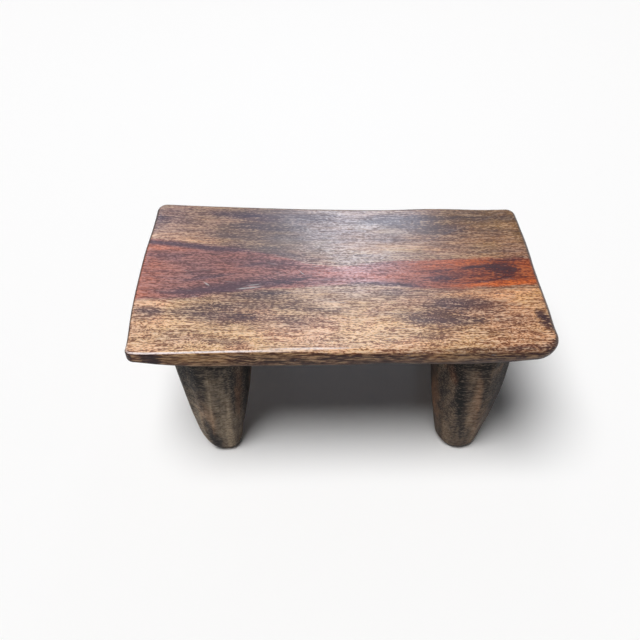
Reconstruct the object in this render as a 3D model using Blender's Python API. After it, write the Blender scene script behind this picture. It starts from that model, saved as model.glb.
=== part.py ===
"""A senufo stool: a thick carved slab seat on four stout tapering legs.

Units are metres and +Z is up. The origin lies on the floor, under the middle of the stool's box. +X runs along the
seat and +Y points to its back long side, so the front long side faces -Y. Each leg has a round tenon, which sits in a
blind mortise in the flat underside of the seat.
"""

import math

import bmesh
import bpy
from mathutils import Matrix, Vector

# Overall sizes
SEAT_LENGTH = 0.534
SEAT_WIDTH = 0.283
STOOL_HEIGHT = 0.235
SEAT_THICKNESS = 0.039

# The gap that a piece keeps to the neighbour that it sits in or rests against
FIT_GAP = 0.0003

# Seat, seen from above: corner radii, how far each corner lies in from the ends of the stool's box, and how far
# the middle of a side stands out (or, at the back, lies in)
FRONT_LEFT_CORNER_RADIUS = 0.011
FRONT_RIGHT_CORNER_RADIUS = 0.034
BACK_RIGHT_CORNER_RADIUS = 0.018
BACK_LEFT_CORNER_RADIUS = 0.015
FRONT_LEFT_INSET = 0.0023
FRONT_RIGHT_INSET = 0.0
BACK_RIGHT_INSET = 0.0036
BACK_LEFT_INSET = 0.0045
LEFT_END_BOW = 0.0034
RIGHT_END_BOW = 0.0
FRONT_BOW = 0.001
BACK_HOLLOW = 0.001

# Seat, top surface: the hollow along the middle, and how far each corner is worn below the highest one
SEAT_HOLLOW = 0.005
FRONT_LEFT_DROP = 0.003
FRONT_RIGHT_DROP = 0.003
BACK_RIGHT_DROP = 0.002
BACK_LEFT_DROP = 0.0

# Seat, edges at each corner: rounding of the top edge, rounding of the lower edge, and how far the side leans in
FRONT_LEFT_TOP_ROUND = 0.005
FRONT_RIGHT_TOP_ROUND = 0.014
BACK_RIGHT_TOP_ROUND = 0.009
BACK_LEFT_TOP_ROUND = 0.006
FRONT_LEFT_UNDER_ROUND = 0.009
FRONT_RIGHT_UNDER_ROUND = 0.021
BACK_RIGHT_UNDER_ROUND = 0.010
BACK_LEFT_UNDER_ROUND = 0.008
FRONT_LEFT_LEAN = 0.001
FRONT_RIGHT_LEAN = 0.003
BACK_RIGHT_LEAN = 0.003
BACK_LEFT_LEAN = 0.003

# Seat, underside: how far it rises at each end, outside the legs
LEFT_END_RISE = 0.005
RIGHT_END_RISE = 0.007

# Legs: widths run along the seat and depths across it
LEG_TOP_WIDTH = 0.112
LEG_TOP_DEPTH = 0.096
LEG_FOOT_WIDTH = 0.060
LEG_FOOT_DEPTH = 0.062
LEFT_LEG_BELLY = 0.002
RIGHT_LEG_BELLY = 0.0045
FOOT_ROUND = 0.012

# How far the seat stands out past the tops of the legs, at its two ends and at its long sides
LEFT_END_OVERHANG = 0.0405
RIGHT_END_OVERHANG = 0.042
SIDE_OVERHANG = 0.0165

# How far a foot stands further out than the top of its leg, along the seat and across it
LEFT_FOOT_SPLAY = -0.004
RIGHT_FOOT_SPLAY = 0.0075
SIDE_FOOT_SPLAY = 0.023

# Tenons, and the wood left between a mortise and the lowest part of the seat's top
TENON_RADIUS = 0.019
TENON_CHAMFER = 0.0015
MORTISE_ROOF = 0.013

# How far a cutter runs out past the surface that it cuts
CUT_OVERRUN = 0.004

# Mesh counts
CORNER_STEPS = 8
LONG_SIDE_STEPS = 16
END_STEPS = 8
ROUND_STEPS = 4
LEG_SIDES = 32
LEG_STEPS = 9
LEG_FACETS = 8

# Shares of the seat's outline at which the flat surfaces get their inner rings
TOP_RING_SHARES = (0.88, 0.70, 0.48, 0.24)
UNDER_RING_SHARES = (0.88, 0.60)

# The largest share of a corner's radius that its lean and its lower rounding may take up together
CORNER_ROOM_SHARE = 0.93

# The higher this power, the sharper the arrises between a leg's hewn facets
FACET_SHARPNESS = 16

# How far each leg's facets are turned, as shares of one facet
FACET_TURN_SHARES = {"front_left": 0.10, "front_right": -0.14, "back_left": 0.22, "back_right": -0.06}

SHARP_ANGLE = math.radians(42)

# Materials: colour, roughness
SEAT_WOOD = ((0.190, 0.088, 0.045), 0.42)
LEG_WOOD = ((0.092, 0.055, 0.036), 0.62)

UNDERSIDE_Z = STOOL_HEIGHT - SEAT_THICKNESS
LEG_HEIGHT = UNDERSIDE_Z - FIT_GAP
TENON_LENGTH = SEAT_THICKNESS - SEAT_HOLLOW - MORTISE_ROOF
LEG_TOP_Y = (SEAT_WIDTH - LEG_TOP_DEPTH) / 2 - SIDE_OVERHANG


def clear_scene():
    for old in list(bpy.data.objects):
        bpy.data.objects.remove(old, do_unlink=True)


def wood_material(name, colour, roughness):
    material = bpy.data.materials.new(name)
    material.use_nodes = True
    shader = material.node_tree.nodes["Principled BSDF"]
    shader.inputs["Base Color"].default_value = (*colour, 1)
    shader.inputs["Roughness"].default_value = roughness
    shader.inputs["Metallic"].default_value = 0
    return material


def new_object(name, mesh_maker, material, parent, location=(0, 0, 0)):
    """Make one mesh object: mesh_maker fills an empty bmesh."""
    bm = bmesh.new()
    mesh_maker(bm)
    bmesh.ops.recalc_face_normals(bm, faces=bm.faces)
    mesh = bpy.data.meshes.new(name)
    bm.to_mesh(mesh)
    bm.free()
    mesh.shade_smooth()
    mesh.set_sharp_from_angle(angle=SHARP_ANGLE)
    if material:
        mesh.materials.append(material)
    obj = bpy.data.objects.new(name, mesh)
    bpy.context.scene.collection.objects.link(obj)
    obj.parent = parent
    obj.location = location
    return obj


def loft(bm, rings):
    """Join rings of equally many points, from the first to the last, and close both ends with a face."""
    loops = [[bm.verts.new(point) for point in ring] for ring in rings]
    for lower, upper in zip(loops, loops[1:]):
        count = len(lower)
        for i in range(count):
            after = (i + 1) % count
            bm.faces.new((lower[i], lower[after], upper[after], upper[i]))
    bm.faces.new(reversed(loops[0]))
    bm.faces.new(loops[-1])


def mix(first, second, share):
    return first + (second - first) * share


def smooth_step(share):
    """A share from 0 to 1, eased at both ends."""
    return share * share * (3 - 2 * share)


def rounded_corner(before, corner, after, radius, steps):
    """Points of the arc that rounds one corner of a section, from the side of `before` to the side of `after`."""
    back = (before - corner).normalized()
    onward = (after - corner).normalized()
    half_angle = back.angle(onward) / 2
    centre = corner + (back + onward).normalized() * (radius / math.sin(half_angle))
    reach = radius / math.tan(half_angle)
    start = corner + back * reach - centre
    end = corner + onward * reach - centre
    turn = start.angle(end)
    points = []
    for i in range(steps + 1):
        share = i / steps
        weight_start = math.sin((1 - share) * turn) / math.sin(turn)
        weight_end = math.sin(share * turn) / math.sin(turn)
        points.append(centre + start * weight_start + end * weight_end)
    return points


class SeatCorner:
    """One corner of the seat, with the shape that its edges have there."""

    def __init__(self, side_x, side_y, radius, inset, drop, top_round, under_round, lean):
        self.side_x = side_x
        self.side_y = side_y
        self.radius = radius
        self.inset = inset
        self.edge = Vector((drop, top_round, min(under_round, radius * CORNER_ROOM_SHARE - lean), lean))

    def arc(self):
        """(point, edge) along the corner's arc, seen from above, counterclockwise."""
        reach_x = SEAT_LENGTH / 2 - self.inset - self.radius
        reach_y = SEAT_WIDTH / 2 - (FRONT_BOW if self.side_y < 0 else 0) - self.radius
        centre = Vector((self.side_x * reach_x, self.side_y * reach_y))
        middle = math.atan2(self.side_y, self.side_x)
        found = []
        for i in range(CORNER_STEPS + 1):
            angle = middle + (i / CORNER_STEPS - 0.5) * math.pi / 2
            out = Vector((math.cos(angle), math.sin(angle)))
            found.append((centre + out * self.radius, self.edge))
        return found


SEAT_CORNERS = (
    SeatCorner(-1, -1, FRONT_LEFT_CORNER_RADIUS, FRONT_LEFT_INSET, FRONT_LEFT_DROP,
               FRONT_LEFT_TOP_ROUND, FRONT_LEFT_UNDER_ROUND, FRONT_LEFT_LEAN),
    SeatCorner(1, -1, FRONT_RIGHT_CORNER_RADIUS, FRONT_RIGHT_INSET, FRONT_RIGHT_DROP,
               FRONT_RIGHT_TOP_ROUND, FRONT_RIGHT_UNDER_ROUND, FRONT_RIGHT_LEAN),
    SeatCorner(1, 1, BACK_RIGHT_CORNER_RADIUS, BACK_RIGHT_INSET, BACK_RIGHT_DROP,
               BACK_RIGHT_TOP_ROUND, BACK_RIGHT_UNDER_ROUND, BACK_RIGHT_LEAN),
    SeatCorner(-1, 1, BACK_LEFT_CORNER_RADIUS, BACK_LEFT_INSET, BACK_LEFT_DROP,
               BACK_LEFT_TOP_ROUND, BACK_LEFT_UNDER_ROUND, BACK_LEFT_LEAN),
)
# How far the side that follows each corner stands out in its middle
SIDE_BOWS = (FRONT_BOW, RIGHT_END_BOW, -BACK_HOLLOW, LEFT_END_BOW)


def side_between(start, end, bow, steps):
    """(point, edge) between two corners' arcs, without their own ends, along a gently bowed side."""
    start_point, start_edge = start
    end_point, end_edge = end
    along = end_point - start_point
    out = Vector((along.y, -along.x)).normalized()
    found = []
    for i in range(1, steps):
        share = i / steps
        point = start_point + along * share + out * (bow * math.sin(math.pi * share) ** 2)
        found.append((point, start_edge.lerp(end_edge, smooth_step(share))))
    return found


def seat_outline():
    """(point, outward direction, edge) once round the seat, seen from above."""
    outline = []
    for i, corner in enumerate(SEAT_CORNERS):
        arc = corner.arc()
        following = SEAT_CORNERS[(i + 1) % len(SEAT_CORNERS)].arc()
        steps = LONG_SIDE_STEPS if i % 2 == 0 else END_STEPS
        outline += arc + side_between(arc[-1], following[0], SIDE_BOWS[i], steps)
    found = []
    for i, (point, edge) in enumerate(outline):
        after = outline[(i + 1) % len(outline)][0]
        along = after - outline[i - 1][0]
        found.append((point, Vector((along.y, -along.x)).normalized(), edge))
    return found


def top_height(x, drop):
    """Height of the top surface: hollow along the middle, and lower at the worn corners."""
    crest = SEAT_LENGTH / 2 - BACK_LEFT_INSET - BACK_LEFT_TOP_ROUND
    share = min(1, abs(x) / crest)
    return STOOL_HEIGHT - drop - SEAT_HOLLOW * (1 - share ** 2)


def underside_height(x):
    """Height of the underside: flat over the legs, and higher at the two ends."""
    rise, overhang = (LEFT_END_RISE, LEFT_END_OVERHANG) if x < 0 else (RIGHT_END_RISE, RIGHT_END_OVERHANG)
    share = max(0, 1 - (SEAT_LENGTH / 2 - abs(x)) / overhang)
    return UNDERSIDE_Z + rise * smooth_step(share)


def edge_section(point, out, edge):
    """Points of the seat's edge, from the top surface over the leaning side to the underside."""
    drop, top_round, under_round, lean = edge
    top = top_height(point.x, drop)
    under = underside_height(point.x)
    fitting = min(1, (top - under) / (top_round + under_round))
    upper = Vector((0, 0, top))
    lower = Vector((-lean, 0, under))
    inward = Vector((-SEAT_WIDTH, 0, 0))
    flat = rounded_corner(upper + inward, upper, lower, top_round * fitting, ROUND_STEPS)
    flat += rounded_corner(upper, lower, lower + inward, under_round * fitting, ROUND_STEPS)
    widest = max(p.x for p in flat)
    return [Vector((*(point + out * (p.x - widest)), p.z)) for p in flat]


def make_seat(bm):
    outline = seat_outline()
    sections = [edge_section(*place) for place in outline]
    edge_rings = [[section[i] for section in sections] for i in range(len(sections[0]))]
    drops = [edge[0] for _, _, edge in outline]
    mean_drop = sum(drops) / len(drops)
    top_rings = []
    for share in reversed(TOP_RING_SHARES):
        ring = []
        for rim, drop in zip(edge_rings[0], drops):
            x = rim.x * share
            ring.append(Vector((x, rim.y * share, top_height(x, mix(mean_drop, drop, share)))))
        top_rings.append(ring)
    under_rings = []
    for share in UNDER_RING_SHARES:
        under_rings.append([Vector((p.x * share, p.y * share, UNDERSIDE_Z)) for p in edge_rings[-1]])
    loft(bm, top_rings + edge_rings + under_rings)


def facet_radius(angle, turn):
    """Distance of a softly faceted outline from its middle, for facets that lie at a distance of 1."""
    total = 0
    for i in range(LEG_FACETS):
        facing = math.cos(angle - (i + turn) * math.tau / LEG_FACETS)
        total += max(0, facing) ** FACET_SHARPNESS
    return total ** (-1 / FACET_SHARPNESS)


def foot_rings():
    """(height, inset) of the rings that round the foot, from the floor up."""
    found = []
    for i in range(ROUND_STEPS + 1):
        angle = i / ROUND_STEPS * math.pi / 2
        found.append((FOOT_ROUND * (1 - math.cos(angle)), FOOT_ROUND * (1 - math.sin(angle))))
    return found


def leg_maker(foot, top, belly, turn):
    """Return a mesh maker for a leg whose foot and top lie at these places of the plan, seen from above."""

    def ring(height, inset):
        share = (height - FOOT_ROUND) / (LEG_HEIGHT - FOOT_ROUND)
        swell = belly * math.sin(math.pi * max(0, share)) - inset
        half_x = mix(LEG_FOOT_WIDTH, LEG_TOP_WIDTH, share) / 2 + swell
        half_y = mix(LEG_FOOT_DEPTH, LEG_TOP_DEPTH, share) / 2 + swell
        middle = (top - foot) * share
        points = []
        for i in range(LEG_SIDES):
            angle = i / LEG_SIDES * math.tau
            radius = facet_radius(angle, turn)
            points.append(Vector((middle.x + half_x * radius * math.cos(angle),
                                  middle.y + half_y * radius * math.sin(angle), height)))
        return points

    def tenon_ring(height, radius):
        middle = top - foot
        points = []
        for i in range(LEG_SIDES):
            angle = i / LEG_SIDES * math.tau
            points.append(Vector((middle.x + radius * math.cos(angle),
                                  middle.y + radius * math.sin(angle), height)))
        return points

    def make(bm):
        rings = [ring(height, inset) for height, inset in foot_rings()]
        for i in range(1, LEG_STEPS + 1):
            rings.append(ring(mix(FOOT_ROUND, LEG_HEIGHT, i / LEG_STEPS), 0))
        rings.append(tenon_ring(LEG_HEIGHT, TENON_RADIUS))
        rings.append(tenon_ring(LEG_HEIGHT + TENON_LENGTH - TENON_CHAMFER, TENON_RADIUS))
        rings.append(tenon_ring(LEG_HEIGHT + TENON_LENGTH, TENON_RADIUS - TENON_CHAMFER))
        loft(bm, rings)

    return make


def cut_mortise(seat, name, top, parent):
    """Cut the blind hole for one leg's tenon into the seat's underside."""
    roof = LEG_HEIGHT + TENON_LENGTH + FIT_GAP
    floor = UNDERSIDE_Z - CUT_OVERRUN

    def make(bm):
        radius = TENON_RADIUS + FIT_GAP
        place = Matrix.Translation((0, 0, (roof + floor) / 2))
        bmesh.ops.create_cone(bm, cap_ends=True, segments=LEG_SIDES, radius1=radius, radius2=radius,
                              depth=roof - floor, matrix=place)

    cutter = new_object("mortise_" + name, make, None, parent, (top.x, top.y, 0))
    cutter.hide_render = True
    cutter.display_type = "WIRE"
    cut = seat.modifiers.new("mortise_" + name, "BOOLEAN")
    cut.operation = "DIFFERENCE"
    cut.solver = "EXACT"
    cut.object = cutter


def main():
    clear_scene()
    stool = bpy.data.objects.new("stool", None)
    bpy.context.scene.collection.objects.link(stool)
    seat = new_object("seat", make_seat, wood_material("seat_wood", *SEAT_WOOD), stool)
    leg_wood = wood_material("leg_wood", *LEG_WOOD)
    ends = (("left", -1, LEFT_END_OVERHANG, LEFT_FOOT_SPLAY, LEFT_LEG_BELLY),
            ("right", 1, RIGHT_END_OVERHANG, RIGHT_FOOT_SPLAY, RIGHT_LEG_BELLY))
    for side_y, side_name in ((-1, "front"), (1, "back")):
        for end_name, side_x, overhang, splay, belly in ends:
            name = side_name + "_" + end_name
            leg_top_x = (SEAT_LENGTH - LEG_TOP_WIDTH) / 2 - overhang
            top = Vector((side_x * leg_top_x, side_y * LEG_TOP_Y))
            foot = top + Vector((side_x * splay, side_y * SIDE_FOOT_SPLAY))
            maker = leg_maker(foot, top, belly, FACET_TURN_SHARES[name])
            new_object("leg_" + name, maker, leg_wood, stool, (foot.x, foot.y, 0))
            cut_mortise(seat, name, top, stool)


if __name__ == "__main__":
    main()
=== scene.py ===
"""Looks of a carved wooden stool: a waxed slab seat on four hewn legs, on a pale studio floor.

Units are metres and +Z is up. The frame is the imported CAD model, and every piece here stands for one of its
nodes. The grain runs along X through seat and legs alike, because such a stool is carved from one block.
"""

import math
from functools import partialmethod
from types import SimpleNamespace

import bpy
import numpy as np
from mathutils import Matrix, Vector, noise


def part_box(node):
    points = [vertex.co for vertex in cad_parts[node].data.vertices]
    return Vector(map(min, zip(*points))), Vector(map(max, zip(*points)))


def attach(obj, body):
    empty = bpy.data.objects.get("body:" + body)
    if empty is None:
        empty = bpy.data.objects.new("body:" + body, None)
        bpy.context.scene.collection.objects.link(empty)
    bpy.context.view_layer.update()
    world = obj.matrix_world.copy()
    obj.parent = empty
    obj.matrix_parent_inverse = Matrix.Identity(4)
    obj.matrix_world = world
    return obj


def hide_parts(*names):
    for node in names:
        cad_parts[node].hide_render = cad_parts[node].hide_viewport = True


bl_info = {
    "name": "Carved Wooden Stool",
    "version": (1, 0, 0),
    "blender": (4, 5, 0),
    "location": "3D View > Sidebar > Stool",
    "description": "Builds a carved slab stool with a waxed seat and hewn legs",
    "category": "Add Mesh",
}

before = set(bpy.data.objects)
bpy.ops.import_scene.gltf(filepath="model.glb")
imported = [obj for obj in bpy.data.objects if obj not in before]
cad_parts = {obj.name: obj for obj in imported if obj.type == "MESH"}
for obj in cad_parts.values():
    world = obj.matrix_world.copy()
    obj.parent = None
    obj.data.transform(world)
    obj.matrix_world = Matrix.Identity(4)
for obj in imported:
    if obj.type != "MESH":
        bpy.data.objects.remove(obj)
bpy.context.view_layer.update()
SEAT_LOW, SEAT_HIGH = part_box("seat")

# The gap between a leg and the seat
FIT_GAP = 0.0003

# Mesh counts of the seat
CORNER_STEPS = 28
LONG_SIDE_STEPS = 180
END_STEPS = 84
ROUND_STEPS = 10
SIDE_STEPS = 7
TOP_RINGS = 34
UNDER_RINGS = 15
MORTISE_SIDES = 64

# Mesh counts of a leg: sides, steps up it, rings of its top cap, and the ring where tenon and shoulder meet
LEG_SIDES = 176
LEG_STEPS = 150
CAP_RINGS = 12
TENON_RING = 7
# Share of the steps up a leg that go to the foot's rounding
FOOT_SHARE = 0.16

# Corners of the seat, counterclockwise from the front left, seen from above: side x, side y, radius, inset
# from the box, drop of the worn top, top rounding, lower rounding, lean of the side
SEAT_CORNERS = (
    (-1, -1, 0.0080, 0.0027, 0.0052, 0.0042, 0.0066, 0.0008),
    (1, -1, 0.0310, 0.0000, 0.003, 0.0140, 0.0240, 0.0030),
    (1, 1, 0.0145, 0.0036, 0.003, 0.0085, 0.0100, 0.0030),
    (-1, 1, 0.0150, 0.0045, 0.000, 0.0060, 0.0080, 0.0030),
)
# How far the side that follows each corner stands out in its middle
SIDE_BOWS = (0.001, 0.0, -0.001, 0.0040)
# Powers that say how late each side takes on the top and the lower rounding of the corner at its end
ROUNDING_DELAYS = ((2.0, 2.6), (1.2, 1.2), (1.0, 1.0), (1.0, 1.0))
# The most that a lower rounding takes of its corner's radius, and that both roundings take of the edge
RADIUS_SHARE = 0.93
EDGE_SHARE = 0.97
# How far in from each end the hollow of the top begins, and how far in the underside rises
HOLLOW_INSET = 0.0105
RISE_REACH = 0.041
# Half length and half width of the place that a leg covers on the underside, which was left flat
LEG_COVER = (0.075, 0.066)
# How far the cutter of a mortise reaches below the seat
CUTTER_REACH = 0.004
# Power that draws the rings of the top towards its rim, and the share of the way out to which the underside
# keeps its level
RING_DRAW = 0.8
LEVEL_SHARE = 0.8
# Least angle between faces that stays sharp
SEAT_ARRIS = math.radians(60)
LEG_ARRIS = math.radians(50)
# How far each next seed moves a noise along each axis
SEED_STEP = 7.31
GRAIN_SEED_STEPS = (3.17, 5.71, 1.93)

# Handmade swells of the outline: x, y, reach along x, reach along y, how far out
OUTLINE_SWELLS = (
    (0.135, 0.1415, 0.045, 0.040, 0.0028),
    (0.180, 0.1415, 0.026, 0.020, 0.0012),
    (0.040, 0.1415, 0.060, 0.020, 0.0010),
    (0.262, 0.060, 0.050, 0.050, 0.0017),
    (0.266, -0.104, 0.026, 0.026, -0.0022),
    (-0.267, -0.080, 0.020, 0.032, 0.0013),
    (-0.215, -0.1415, 0.070, 0.012, 0.0018),
    (-0.020, -0.1415, 0.130, 0.012, -0.0010),
)
# Swells of the top, likewise, and how far up
TOP_SWELLS = (
    (0.140, 0.125, 0.040, 0.040, 0.0012),
    (-0.262, -0.1450, 0.060, 0.045, -0.0048),
    (-0.110, -0.1420, 0.080, 0.030, 0.0018),
    (0.050, -0.1420, 0.080, 0.030, 0.0010),
    (0.020, 0.020, 0.090, 0.090, -0.0005),
)
# Swells of the underside, likewise, outside the legs
UNDER_SWELLS = (
    (0.245, -0.120, 0.032, 0.032, 0.0065),
    (0.160, -0.140, 0.034, 0.030, -0.0022),
    (0.228, -0.140, 0.016, 0.030, 0.0022),
    (0.050, -0.140, 0.030, 0.030, 0.0028),
    (-0.050, -0.140, 0.110, 0.030, 0.0018),
    (-0.255, -0.140, 0.060, 0.034, 0.0070),
)

# Middle of each leg under the seat, and of each foot on the floor
LEG_TOPS = {
    "front_left": (-0.1705, -0.077), "front_right": (0.169, -0.077),
    "back_left": (-0.1705, 0.077), "back_right": (0.169, 0.077),
}
LEG_FEET = {
    "front_left": (-0.1660, -0.1018), "front_right": (0.1752, -0.0996),
    "back_left": (-0.1665, 0.100), "back_right": (0.1765, 0.100),
}
# Foot width and top width of each leg, then these inputs of its tree
HABIT_INPUTS = ("Top Shift", "Foot Rounding", "Foot Inset", "Belly", "Toe", "Squareness", "Facet Turn",
                "Seed")
LEG_HABITS = {
    "front_left": (0.0540, 0.1066, -0.0012, 0.0207, 0.0124, 0.0044, 0.0041, 0.085, 0.25, 3),
    "front_right": (0.0622, 0.1038, 0.0029, 0.0140, 0.0150, 0.0046, 0.0001, 0.000, 0.02, 8),
    "back_left": (0.0580, 0.1100, 0.0000, 0.0150, 0.0135, 0.0030, 0.0010, 0.040, 0.22, 14),
    "back_right": (0.0590, 0.1090, 0.0000, 0.0150, 0.0140, 0.0040, -0.0012, 0.030, -0.06, 21),
}

# Share of a leg's height where its flare begins, and the height up to which its toe reaches out
FLARE_START = 0.86
TOE_HEIGHT = 0.030
# Sharpness of the facets, their wander in radians, and the share of half a facet where its arris begins
FACET_SHARPNESS = 20.0
FACET_WANDER = 0.36
ARRIS_START = 0.84
# The adze's scallops and its finer chatter: how close they come, to a radius round the leg and to a metre
# up it, and their depth in times the hewing depth
SCALLOPS, SCALLOP_DEPTH = (3.4, 3.4, 16.0), 3.4
CHATTER, CHATTER_DEPTH = (9.0, 9.0, 70.0), 0.9
# How far each next seed moves the noise that hews a leg
LEG_SEED_STEP = 1.7

# The unit of the tables of streaks
MM = 0.001
# Stains that darken the seat and glows that make it paler, in plan: start x, start y, end x, end y, half
# width, strength and, where the streak sags in its middle, how far
SAP_STAINS = (
    (-115, 74, 0, 78, 30, 0.11), (45, -38, 90, -40, 9, 0.16), (175, -34, 225, -34, 12, 0.14),
    (-262, -77, -222, -76, 8.5, 0.36), (-228, -75, -100, -83, 13.5, 0.42), (-150, -86, -45, -84, 9, 0.22),
    (-250, -110, -155, -116, 8.5, 0.11), (-180, -122, -110, -125, 7.5, 0.28), (-90, -62, 0, -72, 9, 0.22),
    (-88, -90, 5, -96, 9, 0.24), (-304, -140, -254, -142, 11, 0.75), (-254, -143.5, -218, -143.5, 4, 0.5),
    (56, -80, 190, -92, 13, 0.42), (108, -56, 220, -70, 15, 0.3), (241, -74, 266, -102, 9.5, 0.6, 3),
    (242, -90, 264, -106, 8, 0.4), (70, -114, 150, -120, 8.5, 0.17), (124, -133.5, 190, -134, 2.4, 0.22),
    (180, -135.6, 256, -130, 3.4, 0.24), (-45, -144, 20, -144, 4, 0.3), (232, -136, 268, -116, 5, 0.36, -4),
    (-270, 112, -195, 104, 15, 0.08), (-290, 104, -236, 98, 18, 0.22), (-195, 121, -100, 119, 8.5, 0.26),
    (-165, 98, -35, 88, 16, 0.26, 2), (20, 114, 150, 112, 13, 0.44), (80, 92, 195, 86, 15, 0.24),
    (30, 74, 120, 66, 9, 0.16), (-165, 52, -15, 22, 13, 0.3), (-200, 74, -35, 68, 28, 0.24),
    (-170, 120, 30, 116, 16, 0.3), (80, 118, 300, 110, 16, 0.18), (-195, -50, -40, -58, 21, 0.22),
    (110, -88, 260, -96, 16, 0.08), (85, -62, 180, -66, 12, 0.14), (-150, 98, 190, 92, 34, 0.12),
    (-75, 70, 20, 62, 15, 0.16), (-150, -46, -55, -36, 6, 0.24),
)
SAP_GLOWS = (
    (-320, 72, -120, 62, 9, 0.19), (-290, -63, -185, -60, 8, 0.24), (-285, -92, -140, -98, 11, 0.14),
    (-100, -41, 45, -36, 8, 0.1), (-180, -113, -20, -118, 12, 0.14), (10, 46, 172, 54, 9, 0.2, 3),
    (185, -50, 300, -54, 16, 0.22), (105, -40, 320, -43, 11, 0.28), (-70, -99, 95, -96, 18, 0.2),
    (-235, -141.5, -120, -141.5, 4, 0.16), (-100, -137.2, 130, -125.6, 3.8, 0.36),
    (90, -142.5, 150, -142.5, 4, 0.22),
)
HEART_STAINS = (
    (-130, -12, 40, -13, 8.5, 0.15), (180, -14, 255, -10, 7, 0.12), (-320, 60, -80, 37, 5.8, 0.66, 1),
    (-262, -46, -30, -6, 10.5, 0.56, -4), (-222, -20, -135, -3, 2.8, 0.34), (-270, -3, -215, -1, 2, 0.24),
    (-262, -12, -200, -17, 1.8, 0.22), (-150, 4, -100, 20, 2.6, 0.26), (-230, 6, -150, 4, 15, 0.13),
    (-275, 26, -200, 28, 4.5, 0.22), (-170, 24, -20, 6, 13, 0.28), (0, -18, 130, -29, 5, 0.44),
    (112, -1, 160, 10, 2, 0.3), (160, 12, 222, 10, 8, 0.16), (105, -8, 160, -12, 3.4, 0.44),
    (104, -6, 225, -4, 11.5, 0.22, 4), (100, -12, 170, -22, 2, 0.34), (150, 8, 222, 14, 2.2, 0.48),
    (150, -21, 235, -8, 2.2, 0.42, -3), (190, 9, 248, 2, 12.5, 0.6), (185, 26, 262, 21, 3, 0.34),
)
HEART_GLOWS = (
    (-330, -6, -195, -2, 26, 0.19), (-330, 49, -180, 41, 6.5, 0.42), (-320, -51, -200, -44, 6, 0.26),
    (232, 10, 330, 8, 7, 0.08), (115, -24, 330, -12, 6, 0.34, -4), (60, 18, 230, 20, 8, 0.2),
    (-60, -8, 120, -3, 12, 0.16),
)
# Pale scratches in the wax, in the same form
SCRATCHES = (
    (-183, -19, -172, -28, 1.2, 0.6), (-140, -33, -100, -26, 1.2, 0.75), (-128, -27, -104, -22, 0.9, 0.5),
    (-60, 8, -47, -6, 0.9, 0.45), (-30, -52, 10, -56, 0.8, 0.3), (60, -100, 100, -104, 0.8, 0.3),
)
# The lip of the front edge, rubbed pale by sitting and with a painted highlight, in the same form
LIP_WEAR_AND_HIGHLIGHT = (
    (-112, -136.2, 22, -132.4, 1.7, 0.88),
)
# Back and front border of the heartwood: x and y, and the reach of both
HEART_BACK_BORDER = ((-0.27, 0.064), (-0.20, 0.056), (-0.14, 0.047), (-0.09, 0.034), (-0.04, 0.018),
                     (0.00, 0.014), (0.05, 0.022), (0.11, 0.026), (0.19, 0.028), (0.27, 0.024))
HEART_FRONT_BORDER = ((-0.27, -0.058), (-0.20, -0.050), (-0.14, -0.038), (-0.06, -0.028), (0.03, -0.022),
                      (0.08, -0.027), (0.14, -0.031), (0.20, -0.029), (0.27, -0.023))
BORDER_X = 0.27
BORDER_Y = 0.07

# Upright streaks on the legs, dark and worn pale: start height, start x, end height, end x, half width,
# strength
LEG_STAINS = (
    (230, 137, 20, 170, 7.2, 0.47), (230, 224, 40, 216, 12, 0.56), (215, 192, 90, 204, 5, 0.1),
    (112, 206, 78, 208, 4, 0.4), (230, 114, 10, 126, 5, 0.3), (170, 133, 60, 142, 2.6, 0.14),
    (240, -204, 80, -190, 15, 0.36), (90, -190, -20, -168, 8.5, 0.5), (230, -116, 0, -130, 6, 0.46),
    (190, -144, 80, -146, 3, 0.22),
)
LEG_WEAR = (
    (215, 160, -20, 191, 12, 0.23), (226, 197, 150, 197, 11, 0.52), (190, 141, 110, 148, 5, 0.38),
    (190, 126, 10, 142, 5, 0.24), (130, 148, -30, 158, 12, 0.14), (180, -170, -30, -164, 16, 0.2),
    (190, -175.5, 10, -180.5, 2, 0.24), (130, -153, 4, -157, 4, 0.3), (170, -178, 95, -180, 7, 0.22),
    (190, -132, 60, -139, 4.5, 0.2), (120, -194, 30, -184, 6, 0.06),
)
# Where the red of the heartwood shows through the stain of a leg, in the same form
LEG_REDS = (
    (198, 140, 140, 147, 5.5, 0.75), (215, 218, 50, 214, 10, 0.55), (180, 124, 10, 142, 6, 0.45),
    (200, 170, 20, 190, 9, 0.25), (190, -132, 60, -139, 6, 0.45), (150, -190, 20, -176, 8, 0.3),
)

# Half the floor's side, where the lamps are, what they point at, and the sheen lights' width and height
FLOOR_REACH = 7.0
OVERHEAD_PLACE, OVERHEAD_AIM = (-0.285, -0.125, 1.1), (0, 0, 0)
OVERHEAD_COLOUR, SHEEN_COLOUR = (1.0, 0.995, 0.985), (0.72, 0.79, 0.94)
WINDOW_PLACE, WINDOW_AIM, WINDOW_SIZE = (0.130, 1.28, 1.20), (0.026, 0.08, 0.23), (0.20, 0.40)
DOORWAY_PLACE, DOORWAY_AIM, DOORWAY_SIZE = (-0.800, 1.276, 1.41), (-0.28, 0.0, 0.23), (0.50, 0.70)
# The camera's place, and its turn in degrees
CAMERA_PLACE = (-0.05384, -0.66788, 0.83890)
CAMERA_PITCH, CAMERA_YAW, CAMERA_ROLL = 46.460, 2.360, -1.853


def distance(name, description, default, least, most):
    """A length that a user may change."""
    return bpy.props.FloatProperty(name=name, description=description, default=default, min=least, max=most,
                                   subtype="DISTANCE", unit="LENGTH")


def paint(name, description, default):
    """A colour that a user may change."""
    return bpy.props.FloatVectorProperty(name=name, description=description, default=default, min=0.0,
                                         max=1.0, subtype="COLOR", size=3)


def settings_of(group, name, description):
    """A group of properties, as one property of the whole stool."""
    return bpy.props.PointerProperty(type=group, name=name, description=description)


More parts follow.
